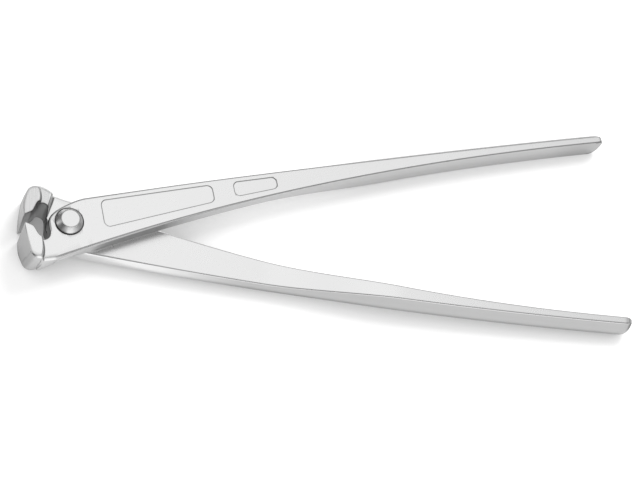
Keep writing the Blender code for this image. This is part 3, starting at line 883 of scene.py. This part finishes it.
def mark_faces(mesh, painted_ring_shade, marks):
    """Store four marks at the corners of the faces: edge, crease, side and grind.

    Edge and crease are the bend outwards and inwards, and both darken the plating as painted shade. Only
    small faces take them, so no large flat face does. The inner side's edges are softer near the head. The
    palm side has a rim of painted shade instead: a band between four lifts of its normal. A handle's end
    has a cap of painted shade on its upper half. The crease also rises to the painted ring shade's strength
    between two radii round the rivet's axis, and ends at a third.

    Side is 1 where the surface is upright and 0 where it is level; it darkens the plating as painted shade,
    and makes it rougher. It grows along the palm side, on the fronts of the jaw and the plate, towards a
    handle's end, and where a handle's side looks down. Grind is 1 on the low faces of the jaw.
    """
    points = read(mesh.vertices, "co", 3)
    corners = read(mesh.loops, "vertex_index", 1, np.int32)
    upright = read(mesh.corner_normals, "vector", 3)
    areas = read(mesh.polygons, "area", 1)
    sizes = read(mesh.polygons, "loop_total", 1, np.int32)
    bend = bends(mesh, points)[corners] * np.repeat(areas < small_face, sizes)
    lifts, strength, up = marks
    lift = np.abs(upright[:, 2])
    along = points[:, 0][corners]
    handle, jaw = along > 0, along < grind_start

    # Painted shade: the edge mark darkens bends, the palm side's rim and the upper half of a handle's end
    palm = smooth_share(upright[:, 1], *facing_turns) * handle * (strength > 0)
    inner = smooth_share(-upright[:, 1], *facing_turns) * smooth_share(-along, *inner_edge_range)
    soft = np.where(jaw, 1.0, inner_edge_softness)
    rim = palm * strength * smooth_share(lift, *lifts[:2]) * (1 - smooth_share(lift, *lifts[2:]))
    cap = smooth_share(upright[:, 0], *cap_turns) * smooth_share(up * upright[:, 2], *cap_lifts)
    cap *= along > cap_start
    store(mesh, "edge", np.maximum(np.clip(bend, 0, 1) * (1 - soft * inner) * (1 - palm) + rim, cap))

    # Painted shade in a ring round the rivet's axis: in the recess and at the foot of the cone
    start, full, end, strength = painted_ring_shade
    radius = np.hypot(points[:, 0], points[:, 1])[corners]
    ring_darkening = np.where(radius < end, strength * smooth_share(radius, start, full), 0.0)
    store(mesh, "crease", np.clip(np.maximum(-bend, ring_darkening), 0, 1))

    # Painted shade on the upright sides, deepened on the palm side, the fronts, a handle's end and its
    # belly
    side = 1 - smooth_share(lift, *side_lifts)
    side *= 1 - palm + palm * palm_side_share * smooth_share(along, *palm_side_range)
    front = smooth_share(-upright[:, 0], *front_turns)
    side *= 1 + front * np.where(jaw, jaw_front_extra, nose_extra) * (along < 0)
    side *= 1 + tip_extra * (1 - palm) * smooth_share(along, *tip_extra_range)
    side *= 1 + belly_extra * smooth_share(-up * upright[:, 2], *belly_turns) * handle
    store(mesh, "side", side)

    low = read(mesh.polygons, "normal", 3)[:, 2] < grind_level
    ground = low & (read(mesh.polygons, "center", 3)[:, 0] < grind_start)
    store(mesh, "grind", np.repeat(ground, sizes))


def finish_mesh(mesh, matrix, painted_ring_shade, marks):
    """Shade a mesh smooth, with its true corners kept sharp, mark its faces and put it in its place."""
    mesh.shade_smooth()
    mesh.set_sharp_from_angle(angle=smooth_angle)
    mark_faces(mesh, painted_ring_shade, marks)
    mesh.transform(matrix)


def add_piece(name, mesh, material, body, node):
    """Put a finished mesh in the scene in place of its CAD node."""
    piece = bpy.data.objects.new(name, mesh)
    bpy.context.collection.objects.link(piece)
    mesh.materials.clear()
    mesh.materials.append(material)
    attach(piece, body)
    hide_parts(node)


def lever_mesh(scene, name, bow):
    """One lever, with its bore, the recess under the rivet's head and its two bare panels cut out.

    The bore's cutter is turned, and widens into the recess, which is bevelled at its foot and its rim.
    """
    form = LeverForm(scene, bow)
    panels, rivet, edges = scene.pliers_panels, scene.pliers_rivet, scene.pliers_edges
    plate, depth = scene.pliers_head.plate_thickness, edges.recess_depth
    bore = rivet.shank_radius + rivet.bore_clearance
    recess = rivet.head_radius + edges.recess_margin
    floor = plate - depth
    profile = [(bore, -plate), (bore, floor)]
    profile += [(recess + out * depth, floor + up * depth) for out, up in recess_profile_shares]
    cutters = [ring_mesh(name + "_bore", turned_grid(np.array(profile), turned_steps))]
    for panel in ("long", "short"):
        *sizes, radius = (getattr(panels, panel + "_" + size) for size in panel_sizes)
        grid = panel_grid(form, panel_corners(form, *sizes), radius)
        cutters.append(ring_mesh(name + "_" + panel + "_panel", grid))
    return cut_mesh(ring_mesh(name, lever_grid(form)), cutters)


def rivet_profile(scene):
    """The rivet's turned profile from the middle of its face to the middle of its back.

    A parabola joins the flat face to the cone, the cone is hollow by half a sine wave, and the lip at its
    foot is a quarter ellipse. The formed head is an upright rim and a superellipse.
    """
    rivet = scene.pliers_rivet
    seat = scene.pliers_head.plate_thickness + rivet.seat_gap
    foot = seat + rivet.head_rim
    shares = {part: np.linspace(0.0, 1.0, steps + 1) for part, steps in rivet_steps.items()}
    face = np.column_stack([(rivet.face_radius - 2 * rivet.face_round) * shares["face"],
                            0 * shares["face"] + head_top])

    slope = np.array([rivet.head_radius - rivet.face_radius, foot - head_top])
    slope = slope / np.linalg.norm(slope)
    start = np.array([rivet.face_radius - rivet.face_round, head_top])
    control = np.array([rivet.face_radius, head_top])
    end = control + slope * rivet.face_round
    share = shares["rim"][:, None]
    rim = start * (1 - share) ** 2 + control * 2 * share * (1 - share) + end * share ** 2

    lip_width = rivet.head_rim / 4
    cone_end = np.array([rivet.head_radius - lip_width, foot])
    inwards = np.array([slope[1], -slope[0]])
    share = shares["cone"][1:]
    cone = (end + (cone_end - end) * share[:, None]
            + inwards * (rivet.cone_hollow * np.sin(math.pi * share))[:, None])
    turn = shares["lip"][1:] * math.pi / 2
    lip = np.column_stack([cone_end[0] + lip_width * np.sin(turn),
                           foot - rivet.head_rim / 2 * (1 - np.cos(turn))])

    back = -seat - rivet.back_height * rivet.back_rim
    under = np.array([(rivet.head_radius, seat), (rivet.shank_radius, seat), (rivet.shank_radius, -seat),
                      (rivet.back_radius, -seat), (rivet.back_radius, back)])
    turn = shares["dome"][1:] * math.pi / 2
    crown = rivet.back_height * (1 - rivet.back_rim)
    dome = np.column_stack([rivet.back_radius * np.cos(turn) ** rivet.back_fullness,
                            back - crown * np.sin(turn) ** rivet.back_fullness])
    return np.concatenate([face, rim, cone, lip, under, dome])


# Materials

# How large a grinding streak is along X, Y and Z, how detailed each noise is, and how high the grain's
# bumps are, as a share of its size
streak_size = (0.0006, 0.006, 0.006)
cloud_detail = 3.0
grain_detail = 2.0
relief_share = 0.1
finish_inputs = (
    "Tone", "Cloud Scale", "Cloud Amount", "Grain Scale", "Grain Amount", "Edge Shade", "Crease Shade",
    "Side Shade", "Grind Shade", "Grind Streak", "Roughness", "Side Roughness",
)


def add_node(tree, kind, **settings):
    node = tree.nodes.new(kind)
    for name, value in settings.items():
        setattr(node, name, value)
    return node


def feed(tree, socket, value):
    """Link a socket to another one, or set it to a number, a colour or a vector."""
    if isinstance(value, bpy.types.NodeSocket):
        tree.links.new(value, socket)
    else:
        socket.default_value = value


def math_node(tree, operation, *values, clamp=False):
    """The result of a Math node."""
    node = add_node(tree, "ShaderNodeMath", operation=operation, use_clamp=clamp)
    for socket, value in zip(node.inputs, values):
        feed(tree, socket, value)
    return node.outputs[0]


def ranged(tree, value, limits, levels=(0.0, 1.0), curve="SMOOTHSTEP"):
    """The value carried from its limits to those levels."""
    node = add_node(tree, "ShaderNodeMapRange", interpolation_type=curve)
    labels = ("Value", "From Min", "From Max", "To Min", "To Max")
    for label, number in zip(labels, (value, *limits, *levels)):
        feed(tree, node.inputs[label], number)
    return node.outputs["Result"]


def mixed(tree, share, first, last):
    """The level at that share of the way between two."""
    node = add_node(tree, "ShaderNodeMix", data_type="FLOAT")
    for index, value in ((0, share), (2, first), (3, last)):
        feed(tree, node.inputs[index], value)
    return node.outputs[0]


def noise(tree, place, scale, detail):
    """The level of a noise texture."""
    node = add_node(tree, "ShaderNodeTexNoise")
    for label, value in (("Vector", place), ("Scale", scale), ("Detail", detail)):
        feed(tree, node.inputs[label], value)
    return node.outputs["Fac"]


def plated_finish():
    """The plating's group: clouds, blasted grain, grinding streaks, and painted shade on edges, creases and
    sides.

    The tone is scaled by 1 plus the clouds, less each mark times its shade. The streaks are noise, drawn
    out by dividing the place by their size.
    """
    name = "plated finish and painted shade"
    if name in bpy.data.node_groups:
        return bpy.data.node_groups[name]
    group = bpy.data.node_groups.new(name, "ShaderNodeTree")
    for way, labels in (("INPUT", finish_inputs), ("OUTPUT", ("Colour", "Roughness", "Height"))):
        for label in labels:
            kind = "NodeSocketColor" if label in ("Tone", "Colour") else "NodeSocketFloat"
            group.interface.new_socket(name=label, in_out=way, socket_type=kind)
    inputs = add_node(group, "NodeGroupInput").outputs
    outputs = add_node(group, "NodeGroupOutput").inputs
    place = add_node(group, "ShaderNodeTexCoord").outputs["Object"]
    marks = {mark: add_node(group, "ShaderNodeAttribute", attribute_name=mark).outputs["Fac"]
             for mark in ("edge", "crease", "side", "grind")}

    def combine(operation, *values, clamp=False):
        return math_node(group, operation, *values, clamp=clamp)

    clouds = noise(group, place, inputs["Cloud Scale"], cloud_detail)
    grain = noise(group, place, inputs["Grain Scale"], grain_detail)
    stretched = add_node(group, "ShaderNodeVectorMath", operation="DIVIDE")
    feed(group, stretched.inputs[0], place)
    feed(group, stretched.inputs[1], streak_size)
    streaks = noise(group, stretched.outputs[0], 1.0, grain_detail)
    cloud, speck, streak = (combine("SUBTRACT", level, 0.5) for level in (clouds, grain, streaks))

    level = combine("MULTIPLY_ADD", cloud, inputs["Cloud Amount"], 1.0)
    # The edge, crease and side marks take colour away as painted shade
    for mark, label in (("edge", "Edge Shade"), ("crease", "Crease Shade"), ("side", "Side Shade")):
        level = combine("SUBTRACT", level, combine("MULTIPLY", marks[mark], inputs[label]))
    ground = combine("ADD", combine("MULTIPLY", streak, inputs["Grind Streak"]), inputs["Grind Shade"])
    level = combine("SUBTRACT", level, combine("MULTIPLY", marks["grind"], ground))
    shade = add_node(group, "ShaderNodeVectorMath", operation="SCALE")
    feed(group, shade.inputs[0], inputs["Tone"])
    feed(group, shade.inputs["Scale"], level)
    feed(group, outputs["Colour"], shade.outputs["Vector"])

    rough = combine("ADD", combine("MULTIPLY", speck, inputs["Grain Amount"]), inputs["Roughness"])
    rough = combine("ADD", rough, combine("MULTIPLY", marks["side"], inputs["Side Roughness"]))
    rough = combine("ADD", rough, combine("MULTIPLY", cloud, inputs["Cloud Amount"]), clamp=True)
    feed(group, outputs["Roughness"], rough)
    feed(group, outputs["Height"], grain)
    return group


def plated_steel(look, piece, side_shade):
    """Plated steel for lever or rivet: the group feeds colour, roughness and the grain's fine bump."""
    material = bpy.data.materials.new(piece + "_steel")
    material.use_nodes = True
    tree = material.node_tree
    shader = tree.nodes["Principled BSDF"]
    shader.inputs["Metallic"].default_value = 1.0
    finish = add_node(tree, "ShaderNodeGroup", node_tree=plated_finish())
    values = (
        getattr(look, piece + "_tone"), 1 / look.cloud_size, look.cloud_amount, 1 / look.grain_size,
        look.grain_amount, look.edge_shade, look.crease_shade, side_shade, look.grind_shade,
        look.grind_streak, getattr(look, piece + "_roughness"), look.side_roughness,
    )
    for label, value in zip(finish_inputs, values):
        finish.inputs[label].default_value = value
    relief = add_node(tree, "ShaderNodeBump")
    feed(tree, relief.inputs["Strength"], getattr(look, piece + "_relief"))
    feed(tree, relief.inputs["Distance"], look.grain_size * relief_share)
    feed(tree, relief.inputs["Height"], finish.outputs["Height"])
    feed(tree, shader.inputs["Base Color"], finish.outputs["Colour"])
    feed(tree, shader.inputs["Roughness"], finish.outputs["Roughness"])
    feed(tree, shader.inputs["Normal"], relief.outputs["Normal"])
    return material


# Stage

# Soft cards in the room: direction, angle of the even middle, angle where it has faded, and level
room_cards = (
    ("key", (0.12, 0.37, 0.92), 11.0, 30.0, 1.14),
    ("right_high", (0.76, 0.37, 0.53), 8.0, 22.0, 0.72),
    ("low_front", (0.15, -0.97, 0.12), 12.0, 30.0, 1.45),
    ("camera_side", (-0.72, -0.65, 0.22), 10.0, 26.0, 0.10),
    ("left", (-0.93, 0.36, 0.05), 16.0, 34.0, 1.15),
    ("right", (0.94, 0.33, 0.02), 8.0, 20.0, 0.10),
)
room_level = 0.38
horizon_level = 0.50
horizon_top = 0.20

# The camera's place and turn, and the way from the tool to the lamp
camera_place = Vector((-0.15783, -0.3420, 0.82995))
camera_right = Vector((0.9559, -0.1015, 0.2755))
camera_up = Vector((-0.0078, 0.9291, 0.3696))
lamp_direction = Vector((0.29, 0.40, 0.87))
tool_middle = Vector((0.10, 0.0, -head_top))

# Where the jaws and the handles touch the floor, and how the floor looks: its glow falls off where the open
# share of the half sphere over it, within that reach, goes from the second limit to the first
jaw_rest = Vector((-0.018, 0.0, lever_low.z))
handle_rest = Vector((0.258, 0.0, -0.0195))
floor_gap = 0.00005
floor_roughness = 0.9
floor_specular = 0.1
floor_shade_reach = 0.025
floor_shade_limits = (-0.15, 0.75)


def room(tree):
    """The world's light by direction: a middling room, paler at the horizon and below it, and soft cards.

    A card's share falls along an S curve in the cosine of the angle from its middle. The camera sees
    white instead of all that.
    """
    tree.nodes.clear()
    way = add_node(tree, "ShaderNodeTexCoord").outputs["Generated"]
    split = add_node(tree, "ShaderNodeSeparateXYZ")
    feed(tree, split.inputs[0], way)
    level = ranged(tree, split.outputs["Z"], (0.0, horizon_top), (horizon_level, room_level))
    for _, direction, inner, outer, value in room_cards:
        dot = add_node(tree, "ShaderNodeVectorMath", operation="DOT_PRODUCT")
        feed(tree, dot.inputs[0], way)
        feed(tree, dot.inputs[1], Vector(direction).normalized())
        limits = (math.cos(math.radians(outer)), math.cos(math.radians(inner)))
        level = mixed(tree, ranged(tree, dot.outputs["Value"], limits), level, value)
    path = add_node(tree, "ShaderNodeLightPath")
    background = add_node(tree, "ShaderNodeBackground")
    feed(tree, background.inputs["Color"], mixed(tree, path.outputs["Is Camera Ray"], level, 1.0))
    output = add_node(tree, "ShaderNodeOutputWorld")
    feed(tree, output.inputs["Surface"], background.outputs[0])


def floor_material(studio):
    """A pale matt floor that glows for the camera, metal and glass, and is clear when seen from below."""
    material = bpy.data.materials.new("pale_floor")
    material.use_nodes = True
    tree = material.node_tree
    shader = tree.nodes["Principled BSDF"]
    shader.inputs["Base Color"].default_value = studio.floor_tone
    shader.inputs["Roughness"].default_value = floor_roughness
    shader.inputs["Specular IOR Level"].default_value = floor_specular
    path = add_node(tree, "ShaderNodeLightPath")
    seen = math_node(tree, "ADD", path.outputs["Is Camera Ray"], path.outputs["Is Glossy Ray"])
    seen = math_node(tree, "ADD", seen, path.outputs["Is Transmission Ray"], clamp=True)
    # The glow is dimmed by ambient occlusion near the tool: a painted contact shadow on the floor
    near = add_node(tree, "ShaderNodeAmbientOcclusion")
    near.inputs["Distance"].default_value = floor_shade_reach
    open_share = ranged(tree, near.outputs["AO"], floor_shade_limits, curve="LINEAR")
    glow = add_node(tree, "ShaderNodeEmission")
    strength = math_node(tree, "MULTIPLY", seen, studio.floor_glow)
    feed(tree, glow.inputs["Strength"], math_node(tree, "MULTIPLY", strength, open_share))
    total = add_node(tree, "ShaderNodeAddShader")
    feed(tree, total.inputs[0], shader.outputs[0])
    feed(tree, total.inputs[1], glow.outputs[0])
    side = add_node(tree, "ShaderNodeNewGeometry")
    below = math_node(tree, "MULTIPLY", side.outputs["Backfacing"], path.outputs["Is Camera Ray"])
    mix = add_node(tree, "ShaderNodeMixShader")
    clear = add_node(tree, "ShaderNodeBsdfTransparent")
    for socket, value in zip(mix.inputs, (below, total.outputs[0], clear.outputs[0])):
        feed(tree, socket, value)
    feed(tree, tree.nodes["Material Output"].inputs["Surface"], mix.outputs[0])
    return material


class PLIERS_OT_forge_levers(bpy.types.Operator):
    """Make both levers, swing them open about the rivet and put them in place of their CAD nodes"""
    bl_idname = "pliers.forge_levers"
    bl_label = "Forge Levers"

    def execute(self, context):
        scene = context.scene
        handle, rivet, look = scene.pliers_handle, scene.pliers_rivet, scene.pliers_steel
        material = plated_steel(look, "lever", look.side_shade)
        axis = Matrix.Translation((0.0, 0.0, -head_top))
        turned_over = Matrix.Rotation(math.pi, 4, "X")
        levers = (
            ("front_lever", handle.front_bow, Matrix.Rotation(handle.opening / 2, 4, "Z")),
            ("rear_lever", handle.rear_bow, Matrix.Rotation(-handle.opening / 2, 4, "Z") @ turned_over),
        )
        recess = rivet.head_radius + scene.pliers_edges.recess_margin
        for node, bow, swing in levers:
            mesh = lever_mesh(scene, node + "_forging", bow)
            # Painted shade fills the recess round the bore, through the crease mark
            finish_mesh(mesh, axis @ swing, (rivet.shank_radius, recess, recess, 1.0), rim_marks[node])
            add_piece(node + "_forging", mesh, material, node, node)
        return {"FINISHED"}


class PLIERS_OT_turn_rivet(bpy.types.Operator):
    """Turn the rivet from its profile and put it in place of its CAD node"""
    bl_idname = "pliers.turn_rivet"
    bl_label = "Turn Rivet"

    def execute(self, context):
        scene = context.scene
        mesh = ring_mesh("rivet_turned", turned_grid(rivet_profile(scene), turned_steps))
        head, face = scene.pliers_rivet.head_radius, scene.pliers_rivet.face_radius
        # A ring of painted shade round the foot of the cone, through the crease mark
        painted_ring_shade = (face + (head - face) * cone_unshaded_share, head, cone_foot_shade_reach * head, cone_foot_shade)
        finish_mesh(mesh, Matrix.Translation((0.0, 0.0, -head_top)), painted_ring_shade, rim_marks["rivet"])
        material = plated_steel(scene.pliers_steel, "rivet", 0.0)
        add_piece("rivet_turned", mesh, material, "front_lever", "rivet")
        return {"FINISHED"}


class PLIERS_OT_set_stage(bpy.types.Operator):
    """Lay the pale floor under the tool, light it softly and set the camera"""
    bl_idname = "pliers.set_stage"
    bl_label = "Set Stage"

    def execute(self, context):
        scene = context.scene
        studio = scene.pliers_studio
        half = studio.floor_size / 2
        slope = (handle_rest.z - jaw_rest.z) / (handle_rest.x - jaw_rest.x)
        corners = [(x, y, jaw_rest.z - floor_gap + slope * (x - jaw_rest.x))
                   for x, y in ((-half, -half), (half, -half), (half, half), (-half, half))]
        mesh = bpy.data.meshes.new("floor")
        mesh.from_pydata(corners, [], [(0, 1, 2, 3)])
        floor = bpy.data.objects.new("floor", mesh)
        context.collection.objects.link(floor)
        mesh.materials.append(floor_material(studio))

        lamp = bpy.data.lights.new("soft_lamp", "AREA")
        lamp.shape = "DISK"
        lamp.size = studio.lamp_width
        # A disk's power is its brightness times pi times its area
        lamp.energy = studio.lamp_level * math.pi * math.pi * (studio.lamp_width / 2) ** 2
        holder = bpy.data.objects.new("soft_lamp", lamp)
        context.collection.objects.link(holder)
        holder.visible_glossy = False
        way = lamp_direction.normalized()
        holder.location = tool_middle + way * studio.lamp_distance
        holder.rotation_mode = "QUATERNION"
        holder.rotation_quaternion = way.to_track_quat("Z", "Y")

        world = bpy.data.worlds.new("room")
        world.use_nodes = True
        room(world.node_tree)
        scene.world = world

        right = camera_right.normalized()
        back = right.cross(camera_up).normalized()
        up = back.cross(right)
        turn = Matrix((right, up, back)).transposed().to_4x4()
        lens = bpy.data.cameras.new("camera")
        lens.lens = studio.focal_length
        lens.clip_start = 0.01
        lens.clip_end = 100.0
        camera = bpy.data.objects.new("camera", lens)
        context.collection.objects.link(camera)
        camera.matrix_world = Matrix.Translation(camera_place) @ turn
        scene.camera = camera
        scene.view_settings.view_transform = "Standard"
        return {"FINISHED"}


class PLIERS_PT_sidebar(bpy.types.Panel):
    """The sizes of the pliers and the buttons that build them"""
    bl_label = "Rebar Tying Pliers"
    bl_idname = "PLIERS_PT_sidebar"
    bl_space_type = "VIEW_3D"
    bl_region_type = "UI"
    bl_category = "Pliers"

    def draw(self, context):
        layout = self.layout
        for operator in operators:
            layout.operator(operator.bl_idname)
        for name, kind in pages:
            box = layout.box()
            box.label(text=kind.__doc__)
            for field in kind.__annotations__:
                box.prop(getattr(context.scene, name), field)


operators = (PLIERS_OT_forge_levers, PLIERS_OT_turn_rivet, PLIERS_OT_set_stage)


def register():
    for name, kind in pages:
        bpy.utils.register_class(kind)
        setattr(bpy.types.Scene, name, bpy.props.PointerProperty(type=kind))
    for kind in operators + (PLIERS_PT_sidebar,):
        bpy.utils.register_class(kind)


def unregister():
    for kind in (PLIERS_PT_sidebar,) + operators[::-1]:
        bpy.utils.unregister_class(kind)
    for name, kind in pages[::-1]:
        delattr(bpy.types.Scene, name)
        bpy.utils.unregister_class(kind)


def main():
    register()
    bpy.ops.pliers.forge_levers()
    bpy.ops.pliers.turn_rivet()
    bpy.ops.pliers.set_stage()


if __name__ == "__main__":
    main()
